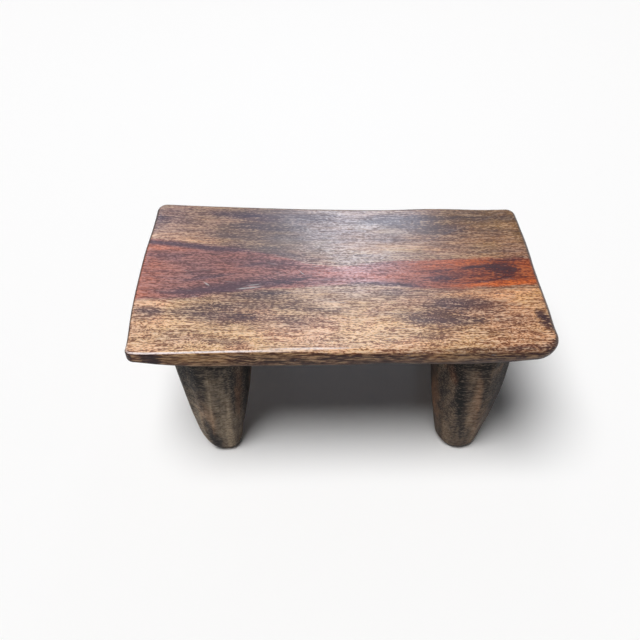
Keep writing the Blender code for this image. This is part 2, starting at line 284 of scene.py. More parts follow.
def strength(name, description, default, most, kind="NONE"):
    """A light's strength, or its power, that a user may change."""
    return bpy.props.FloatProperty(name=name, description=description, default=default, min=0.0, max=most,
                                   subtype=kind, unit=kind)


class SeatSizes(bpy.types.PropertyGroup):
    length: distance("Length", "Length of the seat, along X", SEAT_HIGH.x - SEAT_LOW.x, 0.3, 1.0)
    width: distance("Width", "Width of the seat, along Y", SEAT_HIGH.y - SEAT_LOW.y, 0.2, 0.5)
    height: distance("Height", "Height of the highest corner of the seat", SEAT_HIGH.z, 0.15, 0.4)
    thickness: distance("Thickness", "Thickness of the slab at its highest corner",
                        SEAT_HIGH.z - SEAT_LOW.z, 0.02, 0.08)
    hollow: distance("Hollow", "How far the middle of the top lies below its ends", 0.005, 0.0, 0.012)
    left_rise: distance("Left Rise", "How far the underside rises at the left end", 0.005, 0.0, 0.012)
    right_rise: distance("Right Rise", "How far the underside rises at the right end", 0.007, 0.0, 0.012)
    tool_marks: distance("Tool Marks", "Depth of the adze's unevenness on the underside and the sides",
                         0.0007, 0.0, 0.003)


class LegSizes(bpy.types.PropertyGroup):
    top_depth: distance("Top Depth", "Depth of a leg under the seat, along Y", 0.096, 0.05, 0.13)
    foot_depth: distance("Foot Depth", "Depth of a foot above its rounding", 0.062, 0.03, 0.1)
    flare: distance("Flare", "How far a leg spreads where it meets the seat", 0.0022, 0.0, 0.01)
    hewing: distance("Hewing Depth", "Depth of the marks that the adze left on the legs", 0.0011, 0.0, 0.004)
    tenon_radius: distance("Tenon Radius", "Radius of the tenon inside the seat", 0.019, 0.01, 0.03)
    tenon_length: distance("Tenon Length", "Length of the tenon inside the seat", 0.021, 0.01, 0.03)


class WoodFinish(bpy.types.PropertyGroup):
    sap_dark: paint("Sapwood Streaks", "Darkest colour of the sapwood", (0.052, 0.029, 0.054))
    sap_gold: paint("Sapwood Gold", "Lightest colour of the sapwood", (0.780, 0.485, 0.245))
    heart_dark: paint("Heartwood Streaks", "Darkest colour of the heartwood", (0.058, 0.012, 0.036))
    heart_red: paint("Heartwood Red", "Lightest colour of the heartwood", (0.560, 0.155, 0.062))
    leg_dark: paint("Leg Stain", "Darkest colour of the legs", (0.014, 0.013, 0.013))
    leg_pale: paint("Leg Wear", "Lightest colour of the legs", (0.305, 0.218, 0.145))
    pore_depth: distance("Pore Depth", "Depth of the open pores", 0.0002, 0.0, 0.001)


class StudioStage(bpy.types.PropertyGroup):
    floor_colour: paint("Floor", "Colour of the studio floor", (0.955, 0.955, 0.96))
    overhead: strength("Overhead Light", "Strength of the soft light from above", 3.10, 10.0)
    softness: bpy.props.FloatProperty(
        name="Softness", description="How wide the overhead light is, seen from the floor", subtype="ANGLE",
        unit="ROTATION", default=math.radians(36), min=0.0, max=math.pi)
    ambient: strength("Room Light", "Strength of the light from all around", 0.045, 2.0)
    window: strength("Window Light", "Power of the cool light behind the stool, which shows in the wax",
                     24.0, 100.0, "POWER")
    doorway: strength("Doorway Light", "Power of the wide dim light behind the stool's left end",
                      16.5, 100.0, "POWER")
    lens: bpy.props.FloatProperty(
        name="Lens", description="Focal length of the camera", subtype="DISTANCE_CAMERA", unit="CAMERA",
        default=37.97, min=10.0, max=200.0)


class StoolSettings(bpy.types.PropertyGroup):
    seat: settings_of(SeatSizes, "Seat", "Sizes of the seat")
    legs: settings_of(LegSizes, "Legs", "Sizes of the legs")
    wood: settings_of(WoodFinish, "Wood", "Colours of the wood")
    stage: settings_of(StudioStage, "Stage", "Floor, lights and camera")


# Helpers for shapes

def mix(first, second, share):
    return first + (second - first) * share


def smooth_step(share):
    """Shares from 0 to 1, eased at both ends."""
    share = np.clip(share, 0, 1)
    return share * share * (3 - 2 * share)


def unit(vectors):
    return vectors / np.linalg.norm(vectors, axis=-1, keepdims=True)


def swells(table, x, y):
    """The sum of soft round swells at each point of the plan."""
    total = np.zeros_like(x)
    for at_x, at_y, reach_x, reach_y, amount in table:
        total += amount * np.exp(-((x - at_x) / reach_x) ** 2 - ((y - at_y) / reach_y) ** 2)
    return total


def ripples(points, lengths, seed):
    """Soft noise from about -1 to 1 at each point, with its own wavelength along each axis."""
    scaled = points / np.array(lengths) + seed * SEED_STEP
    return np.array([noise.noise(Vector(p)) for p in scaled])


def plain_mesh(name, points, faces, material):
    """A smooth mesh object from points and faces, at the origin."""
    mesh = bpy.data.meshes.new(name)
    mesh.from_pydata([tuple(p) for p in points], [], faces)
    mesh.validate()
    mesh.shade_smooth()
    mesh.materials.append(material)
    obj = bpy.data.objects.new(name, mesh)
    bpy.context.scene.collection.objects.link(obj)
    return obj


def finished_mesh(obj):
    """Turn an object and its modifiers into a plain mesh."""
    bpy.context.view_layer.update()
    graph = bpy.context.evaluated_depsgraph_get()
    mesh = bpy.data.meshes.new_from_object(obj.evaluated_get(graph), depsgraph=graph)
    mesh.name = obj.name
    obj.modifiers.clear()
    obj.data = mesh


# The seat's shape

def seat_outline(sizes):
    """Points, outward directions and edge shapes (drop, two roundings, lean) once round the seat."""
    arcs = []
    for side_x, side_y, radius, inset, drop, top_round, under_round, lean in SEAT_CORNERS:
        front_bow = SIDE_BOWS[0] if side_y < 0 else 0
        centre = np.array((side_x * (sizes.length / 2 - inset - radius),
                           side_y * (sizes.width / 2 - front_bow - radius)))
        turns = np.linspace(-0.5, 0.5, CORNER_STEPS + 1) * math.pi / 2 + math.atan2(side_y, side_x)
        arcs.append((centre + radius * np.stack([np.cos(turns), np.sin(turns)], 1),
                     np.array((drop, top_round, min(under_round, radius * RADIUS_SHARE - lean), lean))))
    points, edges = [], []
    for i, (arc, edge) in enumerate(arcs):
        following, next_edge = arcs[(i + 1) % len(arcs)]
        steps = LONG_SIDE_STEPS if i % 2 == 0 else END_STEPS
        share = np.arange(1, steps)[:, None] / steps
        along = following[0] - arc[-1]
        out = unit(np.array((along[1], -along[0])))
        side = arc[-1] + along * share + out * SIDE_BOWS[i] * np.sin(math.pi * share) ** 2
        top_delay, under_delay = ROUNDING_DELAYS[i]
        blend = smooth_step(np.concatenate([share, share ** top_delay, share ** under_delay, share], 1))
        points += [arc, side]
        edges += [np.tile(edge, (len(arc), 1)), mix(edge, next_edge, blend)]
    points, edges = np.concatenate(points), np.concatenate(edges)
    along = np.roll(points, -1, 0) - np.roll(points, 1, 0)
    out = unit(np.stack([along[:, 1], -along[:, 0]], 1))
    return points + out * swells(OUTLINE_SWELLS, *points.T)[:, None], out, edges


def top_height(sizes, x, drop):
    crest = sizes.length / 2 - HOLLOW_INSET
    share = np.minimum(1, np.abs(x) / crest)
    return sizes.height - drop - sizes.hollow * (1 - share ** 2)


def underside_height(sizes, x):
    rise = np.where(x < 0, sizes.left_rise, sizes.right_rise)
    share = 1 - (sizes.length / 2 - np.abs(x)) / RISE_REACH
    return sizes.height - sizes.thickness + rise * smooth_step(share)


def rounded_corners(before, corner, after, radius):
    """The arc that rounds one corner of every section, from the side of `before` to the side of `after`."""
    back, onward = unit(before - corner), unit(after - corner)
    half_angle = np.arccos(np.sum(back * onward, 1)) / 2
    centre = corner + unit(back + onward) * (radius / np.sin(half_angle))[:, None]
    reach = (radius / np.tan(half_angle))[:, None]
    start, end = corner + back * reach - centre, corner + onward * reach - centre
    turn = (math.pi - 2 * half_angle)[:, None]
    return [centre + (start * np.sin((1 - share) * turn) + end * np.sin(share * turn)) / np.sin(turn)
            for share in np.linspace(0, 1, ROUND_STEPS + 1)]


def edge_sections(sizes, outline, edges):
    """Places over the slab's edge at every point of the outline, as distance outwards and height."""
    drop, top_round, under_round, lean = edges.T
    top = top_height(sizes, outline[:, 0], drop)
    under = underside_height(sizes, outline[:, 0]) + swells(UNDER_SWELLS, *outline.T)
    fitting = np.minimum(1, EDGE_SHARE * (top - under) / (top_round + under_round))
    upper, lower = np.stack([np.zeros_like(top), top], 1), np.stack([-lean, under], 1)
    inward = np.array((-sizes.width, 0))
    over = rounded_corners(upper + inward, upper, lower, top_round * fitting)
    below = rounded_corners(upper, lower, lower + inward, under_round * fitting)
    side = [mix(over[-1], below[0], i / SIDE_STEPS) for i in range(1, SIDE_STEPS)]
    return np.array(over + side + below)


def seat_rings(sizes):
    """Rings of points from the middle of the top, over the edge, to the middle of the underside."""
    outline, out, edges = seat_outline(sizes)
    drop = edges[:, 0]
    sections = edge_sections(sizes, outline, edges)
    widest = sections[:, :, 0].max(0)
    edge_rings = []
    for section in sections:
        plan = outline + out * (section[:, 0] - widest)[:, None]
        edge_rings.append(np.concatenate([plan, section[:, 1:]], 1))
    rim, heel = edge_rings[0], edge_rings[-1]
    rim_step = rim[:, 2] - top_height(sizes, rim[:, 0], drop)
    top_rings, under_rings = [], []
    for i in range(1, TOP_RINGS + 1):
        share = (i / (TOP_RINGS + 1)) ** RING_DRAW
        x, y = rim[:, 0] * share, rim[:, 1] * share
        z = top_height(sizes, x, mix(drop.mean(), drop, share)) + rim_step * smooth_step(share)
        top_rings.append(np.stack([x, y, z], 1))
    for i in range(UNDER_RINGS, 0, -1):
        share = i / (UNDER_RINGS + 1)
        x, y = heel[:, 0] * share, heel[:, 1] * share
        lift = smooth_step((share - LEVEL_SHARE) / (1 - LEVEL_SHARE))
        z = mix(underside_height(sizes, x), heel[:, 2], lift)
        under_rings.append(np.stack([x, y, z], 1))
    return top_rings, edge_rings, under_rings, out


def seat_points(sizes):
    """All points of the seat, with the small unevenness that handwork leaves, ring after ring."""
    top_rings, edge_rings, under_rings, out = seat_rings(sizes)
    rings = np.array(top_rings + edge_rings + under_rings)
    flat = rings.reshape(-1, 3)
    sideways = np.zeros(rings.shape[:2])
    sideways[TOP_RINGS:-UNDER_RINGS] = np.sin(np.linspace(0, math.pi, len(edge_rings)))[:, None]
    level = smooth_step((flat[:, 2] - sizes.height + sizes.thickness) / sizes.thickness)
    under_legs = np.zeros(len(flat))
    for top in LEG_TOPS.values():
        far = np.hypot(*((flat[:, :2] - top) / LEG_COVER).T)
        under_legs = np.maximum(under_legs, smooth_step(3 - 2 * far))
    wave = ripples(flat, (0.110, 0.050, 0.050), 1) * 0.0007
    wave += ripples(flat, (0.045, 0.020, 0.030), 2) * 0.00025
    marks = ripples(flat, (0.040, 0.026, 0.030), 3) * sizes.tool_marks * 1.6
    flat[:, 2] += level * (wave + swells(TOP_SWELLS, flat[:, 0], flat[:, 1]))
    flat[:, 2] += (1 - level) * (1 - under_legs) * marks
    bulge = ripples(flat, (0.055, 0.055, 0.016), 4) * sizes.tool_marks * 0.9
    flat[:, :2] += np.tile(out, (len(rings), 1)) * (bulge * sideways.ravel())[:, None]
    return flat, *rings.shape[:2]


def seat_mesh(sizes, material):
    points, ring_count, count = seat_points(sizes)
    top_middle = np.array((0, 0, points[:count, 2].mean()))
    under_middle = np.array((0, 0, sizes.height - sizes.thickness))
    top, under = len(points), len(points) + 1
    last = (ring_count - 1) * count
    faces = []
    for i in range(count):
        j = (i + 1) % count
        faces += [(top, i, j), (under, last + j, last + i)]
        faces += [(a + i, a + count + i, a + count + j, a + j) for a in range(0, last, count)]
    return plain_mesh("carved_seat", np.vstack([points, top_middle, under_middle]), faces, material)


def cut_mortises(seat, sizes, legs):
    """Sink the four blind holes for the tenons into the underside."""
    low = sizes.height - sizes.thickness - CUTTER_REACH
    high = sizes.height - sizes.thickness + legs.tenon_length
    turns = np.arange(MORTISE_SIDES) / MORTISE_SIDES * math.tau
    circle = np.stack([np.cos(turns), np.sin(turns)], 1) * (legs.tenon_radius + FIT_GAP)
    points, faces = [], []
    for top in LEG_TOPS.values():
        lower = [len(points) + i for i in range(MORTISE_SIDES)]
        upper = [i + MORTISE_SIDES for i in lower]
        points += [(*place, z) for z in (low, high) for place in circle + top]
        faces += [tuple(reversed(lower)), tuple(upper)]
        faces += zip(lower, lower[1:] + lower[:1], upper[1:] + upper[:1], upper)
    cutter = plain_mesh("mortises", points, faces, seat.data.materials[0])
    cut = seat.modifiers.new("Mortises", "BOOLEAN")
    cut.operation = "DIFFERENCE"
    cut.solver = "EXACT"
    cut.object = cutter
    finished_mesh(seat)
    bpy.data.objects.remove(cutter, do_unlink=True)


# Nodes

class Value:
    """What a node's socket puts out. Arithmetic with it adds the math nodes that it takes."""

    def __init__(self, bench, socket):
        self.bench, self.socket = bench, socket

    def math(self, operation, *others):
        return self.bench.math(operation, self, *others)

    def math_after(self, operation, other):
        return self.bench.math(operation, other, self)

    __add__ = partialmethod(math, "ADD")
    __sub__ = partialmethod(math, "SUBTRACT")
    __mul__ = partialmethod(math, "MULTIPLY")
    __truediv__ = partialmethod(math, "DIVIDE")
    __pow__ = partialmethod(math, "POWER")
    __neg__ = partialmethod(math, "MULTIPLY", -1.0)
    __abs__ = partialmethod(math, "ABSOLUTE")
    __radd__ = partialmethod(math_after, "ADD")
    __rsub__ = partialmethod(math_after, "SUBTRACT")
    __rtruediv__ = partialmethod(math_after, "DIVIDE")

    def between(self, low, high, to_low=0.0, to_high=1.0, smooth=True):
        """Map the range from low to high onto another, held at its ends."""
        settings = {"interpolation_type": "SMOOTHSTEP" if smooth else "LINEAR"}
        return self.bench.add("ShaderNodeMapRange", settings, Value=self, From_Min=low, From_Max=high,
                              To_Min=to_low, To_Max=to_high)

    def parts(self):
        """The three parts of a vector."""
        return self.bench.outputs("ShaderNodeSeparateXYZ", Vector=self).values()


class NodeBench:
    """Adds nodes to one tree and sets them out in columns, left to right."""

    # First input of a Mix node for each kind of data; the second follows it
    MIX_INPUTS = {"FLOAT": 2, "VECTOR": 4, "RGBA": 6}
    COLUMN_WIDTH, ROW_HEIGHT = 210, 190

    def __init__(self, tree):
        self.tree = tree
        self.columns = {}
        self.rows = {}

    def node(self, kind, settings=None, **links):
        """Add a node. A link's name is an input's name, with _ for a space, or s0, s1 ... for its number."""
        node = self.tree.nodes.new(kind)
        for key, value in (settings or {}).items():
            setattr(node, key, value)
        column = 0
        for key, value in links.items():
            numbered = key[0] == "s" and key[1:].isdigit()
            socket = node.inputs[int(key[1:]) if numbered else key.replace("_", " ")]
            if isinstance(value, Value):
                self.tree.links.new(value.socket, socket)
                column = max(column, self.columns[value.socket.node.name] + 1)
            else:
                socket.default_value = value
        self.columns[node.name] = column
        self.rows[column] = self.rows.get(column, 0) + 1
        node.location = (column * self.COLUMN_WIDTH, -self.rows[column] * self.ROW_HEIGHT)
        return node

    def add(self, kind, settings=None, output=0, **links):
        """Add a node for one of its outputs."""
        return Value(self, self.node(kind, settings, **links).outputs[output])

    def outputs(self, kind, settings=None, **links):
        """Add a node for all its outputs, by name."""
        return {socket.name: Value(self, socket) for socket in self.node(kind, settings, **links).outputs}

    def group(self, tree, **links):
        return self.outputs("ShaderNodeGroup", {"node_tree": tree}, **links)

    def give(self, **results):
        """Put out the results of a group, and return its tree."""
        self.node("NodeGroupOutput", **results)
        return self.tree

    def math(self, operation, *values):
        """A math node, or a vector math node where a value is a vector or a colour."""
        vectors = [value for value in values if isinstance(value, tuple)
                   or isinstance(value, Value) and value.socket.type in ("VECTOR", "RGBA")]
        kind = "ShaderNodeVectorMath" if vectors else "ShaderNodeMath"
        return self.add(kind, {"operation": operation}, **{f"s{i}": value for i, value in enumerate(values)})

    def mix(self, kind, share, first, second, **settings):
        start = self.MIX_INPUTS[kind]
        links = {"s0": share, f"s{start}": first, f"s{start + 1}": second}
        return self.add("ShaderNodeMix", {"data_type": kind, **settings}, start // 2 - 1, **links)

    def lerp(self, share, first, second):
        """Mix two numbers."""
        return self.mix("FLOAT", share, first, second)

    def blend(self, share, first, second, kind="MIX"):
        """Mix two colours."""
        first, second = ((*colour, 1) if isinstance(colour, tuple) else colour for colour in (first, second))
        return self.mix("RGBA", share, first, second, blend_type=kind)

    def tint(self, share, colour, filter_colour):
        """Lay a filter colour over a colour."""
        return self.blend(share, colour, filter_colour, "MULTIPLY")

    def vector(self, x, y, z=0.0):
        return self.add("ShaderNodeCombineXYZ", X=x, Y=y, Z=z)

    def noise(self, vector, dimensions="3D", output=0, **links):
        settings = {"noise_dimensions": dimensions}
        return self.add("ShaderNodeTexNoise", settings, output, Vector=vector, **links)

    def grain(self, vector, lengths, detail=2.0, roughness=0.5, seed=0.0, output=0):
        """Noise with its own wavelength along each axis, or one along and one across the fibres."""
        along, across, *upright = lengths
        scaled = vector / (along, across, *(upright or (across,)))
        moved = scaled + tuple(seed * step for step in GRAIN_SEED_STEPS)
        return self.noise(moved, output=output, Scale=1.0, Detail=detail, Roughness=roughness)


def new_group(name, inputs, outputs, kind="ShaderNodeTree"):
    """A node group's bench and inputs. An input is given by its default, or else by its kind."""
    tree = bpy.data.node_groups.new(name, kind)
    kinds = {float: "Float", int: "Int", tuple: "Vector"}
    for label, default in inputs.items():
        socket_type = "NodeSocket" + kinds.get(type(default), default)
        socket = tree.interface.new_socket(name=label, in_out="INPUT", socket_type=socket_type)
        if type(default) in kinds:
            socket.default_value = default
    for label, socket_kind in outputs.items():
        tree.interface.new_socket(name=label, in_out="OUTPUT", socket_type="NodeSocket" + socket_kind)
    n = NodeBench(tree)
    return n, n.outputs("NodeGroupInput")


# The legs' shape

def foot_and_shaft(n, given, up):
    """Height of each ring, its share of the shaft, and how far it stands out from a straight taper."""
    turn = n.math("MINIMUM", up / FOOT_SHARE, 1.0) * (math.pi / 2)
    foot_rise = given["Foot Rounding"] * (1.0 - n.math("COSINE", turn))
    inset = given["Foot Inset"] * (1.0 - n.math("SINE", turn))
    shaft = n.math("MAXIMUM", (up - FOOT_SHARE) / (1 - FOOT_SHARE), 0.0)
    shaft_length = given["Height"] - given["Foot Rounding"]
    height = foot_rise + shaft * shaft_length
    share = (height - given["Foot Rounding"]) / shaft_length
    bulge = given["Belly"] * n.math("SINE", n.math("MAXIMUM", share, 0.0) * math.pi)
    spread = given["Flare"] * share.between(FLARE_START, 1.0, smooth=False) ** 2.0
    return height, share, bulge + spread - inset


def soft_facets(n, given, angle, circle, share, seed):
    """Radius of a ring of soft facets, and a mask of the arrises, which wander a little up the leg."""
    wander = n.noise(circle + n.vector(0.0, 0.0, share * 1.6), "4D", W=seed, Scale=1.1, Detail=1.0)
    facet = math.tau / given["Facets"]
    turned = angle + (wander - 0.5) * FACET_WANDER - given["Facet Turn"] * facet
    half_facet = facet * 0.5
    local = n.math("WRAP", turned, half_facet, -half_facet)
    near = [n.math("MAXIMUM", n.math("COSINE", local + offset), 0.0) ** FACET_SHARPNESS
            for offset in (0.0, facet, -facet)]
    hewn_radius = (near[0] + near[1] + near[2]) ** (-1 / FACET_SHARPNESS)
    corners = n.math("SINE", angle * 2.0) ** 2.0
    squared = given["Squareness"] * corners * share.between(0.5, 0.0)
    radius = n.lerp(share.between(-0.02, 0.42), 1.02, hewn_radius) * (1.0 + squared)
    return radius, (abs(local) / half_facet).between(ARRIS_START, 1.0)


def adze_marks(n, given, circle, height, share, seed):
    """Depth of the adze's marks, shallow upright scallops and a finer chatter, which fade at both ends."""
    ring = circle + n.vector(0.0, 0.0, height)
    broad = n.noise(ring * SCALLOPS, "4D", W=seed, Scale=1.0, Detail=1.0)
    fine = n.noise(ring * CHATTER, "4D", W=seed, Scale=1.0, Detail=2.0)
    marks = (broad - 0.5) * SCALLOP_DEPTH + (fine - 0.5) * CHATTER_DEPTH
    near_seat, near_foot = share.between(1.0, 0.97), share.between(-0.02, 0.20, 0.3, 1.0)
    return marks * given["Hewing Depth"] * near_seat * near_foot


def hewn_leg_tree():
    """Geometry Nodes that hew one leg: taper, splay, soft facets, rounded foot, tool marks and tenon."""
    n, given = new_group("Hewn Leg", {
        "Geometry": "Geometry",
        "Foot Place": (0, 0, 0), "Top Place": (0, 0, 0),
        "Foot Half Size": (0.03, 0.031, 0), "Top Half Size": (0.056, 0.048, 0),
        "Height": 0.1957, "Foot Rounding": 0.0135, "Foot Inset": 0.0135, "Belly": 0.002, "Flare": 0.002,
        "Toe": 0.0, "Top Shift": 0.0, "Squareness": 0.0, "Facets": 8.0, "Facet Turn": 0.0,
        "Hewing Depth": 0.001, "Tenon Radius": 0.019, "Tenon Length": 0.021, "Seed": 0,
        "Material": "Material",
    }, {"Geometry": "Geometry"}, "GeometryNodeTree")
    n.tree.is_modifier = True
    blank = n.add("GeometryNodeMeshCylinder", {"fill_type": "TRIANGLE_FAN"}, "Mesh", Vertices=LEG_SIDES,
                  Side_Segments=LEG_STEPS, Fill_Segments=CAP_RINGS, Radius=1.0, Depth=1.0)
    x, y, z = n.add("GeometryNodeInputPosition").parts()
    up = z + 0.5
    out = n.math("SQRT", x * x + y * y)
    angle = n.math("ARCTAN2", y, x)
    circle = n.vector(n.math("COSINE", angle), n.math("SINE", angle))
    seed = given["Seed"] * LEG_SEED_STEP
    height, share, swell = foot_and_shaft(n, given, up)
    facet_radius, arris = soft_facets(n, given, angle, circle, share, seed)
    hewing = adze_marks(n, given, circle, height, share, seed)

    # The side's offset from the middle of its ring
    half = n.mix("VECTOR", share, given["Foot Half Size"], given["Top Half Size"], clamp_factor=False)
    reach = (half + swell + hewing) * facet_radius * circle

    # The top cap becomes the shoulder and the tenon
    on_top = n.math("GREATER_THAN", up, 0.9999)
    inside = on_top * n.math("LESS_THAN", out, (CAP_RINGS - 0.5) / CAP_RINGS)
    on_tenon = on_top * n.math("LESS_THAN", out, (TENON_RING - 0.5) / CAP_RINGS)
    shoulder_share = out.between(TENON_RING / CAP_RINGS, 1.0, smooth=False)
    tenon_share = n.math("MINIMUM", out / ((TENON_RING - 1) / CAP_RINGS), 1.0)
    cap = n.mix("VECTOR", shoulder_share, circle * given["Tenon Radius"], reach) * tenon_share
    side = n.mix("VECTOR", inside, reach * out, cap)

    centre = n.mix("VECTOR", share, given["Foot Place"], given["Top Place"], clamp_factor=False)
    toe = given["Toe"] * height.between(TOE_HEIGHT, 0.0)
    shift = given["Top Shift"] * (share - on_top * (1.0 - shoulder_share))
    lift = n.vector(toe + shift, 0.0, height + on_tenon * given["Tenon Length"])
    shaped = n.add("GeometryNodeSetPosition", Geometry=blank, Position=centre + side + lift)
    marked = n.add("GeometryNodeStoreNamedAttribute", {"data_type": "FLOAT", "domain": "POINT"},
                   Geometry=shaped, Name="arris", Value=arris)
    smooth = n.add("GeometryNodeSetShadeSmooth", Geometry=marked, Shade_Smooth=True)
    real = n.add("GeometryNodeRealizeInstances", Geometry=smooth)
    stained = n.add("GeometryNodeSetMaterial", Geometry=real, Material=given["Material"])
    return n.give(Geometry=stained)


def hew_leg(name, tree, sizes, height, material):
    foot_width, top_width, *habits = LEG_HABITS[name]
    leg = bpy.data.objects.new("hewn_leg_" + name, bpy.data.meshes.new("hewn_leg_" + name))
    bpy.context.scene.collection.objects.link(leg)
    hewing = leg.modifiers.new("Hewn Leg", "NODES")
    hewing.node_group = tree
    values = dict(zip(HABIT_INPUTS, habits)) | {
        "Foot Place": (*LEG_FEET[name], 0.0), "Top Place": (*LEG_TOPS[name], 0.0),
        "Foot Half Size": (foot_width / 2, sizes.foot_depth / 2, 0.0),
        "Top Half Size": (top_width / 2, sizes.top_depth / 2, 0.0),
        "Height": height, "Flare": sizes.flare, "Hewing Depth": sizes.hewing,
        "Tenon Radius": sizes.tenon_radius, "Tenon Length": sizes.tenon_length, "Material": material,
    }
    for item in tree.interface.items_tree:
        if item.in_out == "INPUT" and item.name in values:
            hewing[item.identifier] = values[item.name]
    finished_mesh(leg)
    leg.data.set_sharp_from_angle(angle=LEG_ARRIS)
    return leg


# The wood's node groups

def grain_flow_group():
    """Bends the coordinates as the fibres bend: broad waves, and curls in some places."""
    n, given = new_group("Grain Flow", {"Vector": (0, 0, 0), "Wave": 0.008, "Curl": 0.003},
                         {"Vector": "Vector", "Curliness": "Float"})
    vector = given["Vector"]
    wave = n.grain(vector, (0.16, 0.06), detail=1.0, seed=1, output="Color")
    curl = n.grain(vector, (0.020, 0.012), detail=1.0, seed=2, output="Color")
    place = n.grain(vector, (0.055, 0.028), detail=1.0, seed=3)
    _, y, _ = vector.parts()
    curliness = place.between(0.42, 0.66) * y.between(-0.020, -0.055, 0.35, 1.0)
    wave_size = n.vector(given["Wave"] * 0.6, given["Wave"], given["Wave"])
    curl_size = given["Curl"] * (curliness * 0.85 + 0.15)
    middle = (0.5, 0.5, 0.5)
    moved = vector + (wave - middle) * wave_size + (curl - middle) * curl_size
    return n.give(Vector=moved, Curliness=curliness)


def wood_fibre_group():
    """Growth bands, fibre streaks, dashes short and long, drawn lines and open pores, all along X."""
    marks = ("Bands", "Streaks", "Dashes", "Lines", "Pores")
    n, given = new_group("Wood Fibre", {"Vector": (0, 0, 0), "Curliness": 0.0},
                         dict.fromkeys(marks, "Float"))
    vector, curliness = given["Vector"], given["Curliness"]
    bands = n.grain(vector, (0.130, 0.0105), seed=4)
    streaks = n.grain(vector, (0.030, 0.0034), roughness=0.55, seed=5)
    straight = n.grain(vector, (0.0046, 0.0015), seed=6)
    curled = n.grain(vector, (0.0026, 0.0016), seed=15)
    short = n.lerp(curliness, straight, curled)
    long = n.grain(vector, (0.034, 0.0015), detail=1.0, seed=18)
    long_share = curliness.between(0.0, 1.0, 0.58, 0.24, smooth=False)
    dashes = 0.5 + (short - 0.5) * 0.90 + (long - 0.5) * long_share
    contour = n.grain(vector, (0.060, 0.0085), roughness=0.4, seed=14)
    lines = n.math("PINGPONG", contour * 5.0, 0.5).between(0.16, 0.02)
    cells = n.add("ShaderNodeTexVoronoi", {"feature": "F1"}, "Distance", Scale=1.0, Randomness=1.0,
                  Vector=vector / (0.0080, 0.0024, 0.0024))
    crowd = n.grain(vector, (0.030, 0.012), seed=7)
    width = crowd.between(0.35, 0.65, 0.20, 0.46)
    pores = cells.between(width, width * 0.35)
    return n.give(Bands=bands, Streaks=streaks, Dashes=dashes, Lines=lines, Pores=pores)


def stain_streak_group():
    """A long streak between two places, ragged along the fibres and fading at its ends."""
    labels = ("Along", "Across", "Ragged", "Start Along", "Start Across", "End Along", "End Across", "Sag",
              "Half Width", "Strength")
    n, given = new_group("Stain Streak", dict.fromkeys(labels, 0.0), {"Mask": "Float"})
    share = (given["Along"] - given["Start Along"]) / (given["End Along"] - given["Start Along"])
    hump = n.math("MAXIMUM", share * 4.0 * (1.0 - share), 0.0001)
    centre = (given["Start Across"] + (given["End Across"] - given["Start Across"]) * share
              + given["Sag"] * hump)
    away = abs(given["Across"] - centre) / given["Half Width"]
    ends = (1.0 - n.math("MINIMUM", hump, 1.0)) * 1.5
    inside = 1.0 - away - ends + (given["Ragged"] - 0.5) * 3.2
    mask = inside.between(-0.8, 1.0) * hump.between(0.0, 0.35) * given["Strength"]
    return n.give(Mask=mask)


def border_curve(n, x, table):
    """The y of a border at each x, along a smooth curve through given places."""
    node = n.node("ShaderNodeFloatCurve", Value=x.between(-BORDER_X, BORDER_X, smooth=False))
    curve = node.mapping.curves[0]
    places = [((x + BORDER_X) / (2 * BORDER_X), (y + BORDER_Y) / (2 * BORDER_Y)) for x, y in table]
    curve.points[0].location = places[0]
    curve.points[-1].location = places[-1]
    for place in places[1:-1]:
        curve.points.new(*place)
    node.mapping.update()
    return Value(n, node.outputs[0]).between(0.0, 1.0, -BORDER_Y, BORDER_Y, smooth=False)


def heart_band_group():
    """The reddish heartwood between its two wandering borders."""
    n, given = new_group("Heartwood Band", {"Along": 0.0, "Across": 0.0, "Ragged": 0.5},
                         {"Heart": "Float"})
    back = border_curve(n, given["Along"], HEART_BACK_BORDER) - given["Across"]
    front = given["Across"] - border_curve(n, given["Along"], HEART_FRONT_BORDER)
    inside = n.math("MINIMUM", back, front) + (given["Ragged"] - 0.5) * 0.016
    return n.give(Heart=inside.between(-0.0034, 0.0034))


def handling_group():
    """Fine slanted scratches, smears in the wax and settled grime from years of use."""
    n, given = new_group("Years of Use", {"Vector": (0, 0, 0)},
                         dict.fromkeys(("Scratches", "Smears", "Grime"), "Float"))
    vector = given["Vector"]
    slanted = n.add("ShaderNodeVectorRotate", {"rotation_type": "Z_AXIS"}, Vector=vector,
                    Angle=math.radians(11))
    lines = n.grain(slanted, (0.050, 0.0016), detail=0.0, seed=8)
    where = n.grain(vector, (0.040, 0.024), detail=1.0, seed=9)
    scratches = lines.between(0.735, 0.80) * where.between(0.52, 0.66)
    smears = n.grain(vector, (0.080, 0.045), detail=3.0, roughness=0.6, seed=10)
    grime = n.grain(vector, (0.020, 0.012), detail=4.0, roughness=0.65, seed=11)
    return n.give(Scratches=scratches, Smears=smears, Grime=grime)


def wood_groups():
    """The node groups that all the wood shares, made once."""
    return {
        "flow": grain_flow_group(), "fibre": wood_fibre_group(), "streak": stain_streak_group(),
        "heart": heart_band_group(), "use": handling_group(),
    }


# Helpers for materials

def colour_ramp(n, value, stops):
    node = n.node("ShaderNodeValToRGB", s0=value)
    ramp = node.color_ramp
    ramp.elements[0].position, ramp.elements[0].color = stops[0][0], (*stops[0][1], 1)
    ramp.elements[1].position, ramp.elements[1].color = stops[-1][0], (*stops[-1][1], 1)
    for position, colour in stops[1:-1]:
        ramp.elements.new(position).color = (*colour, 1)
    return Value(n, node.outputs[0])


def tones(dark, light, shares):
    """Stops of a ramp from dark to light, from the position of each and its share of the light colour."""
    dark, light = np.array(dark), np.array(light)
    return [(position, tuple(float(c) for c in mix(dark, light, share))) for position, share in shares]


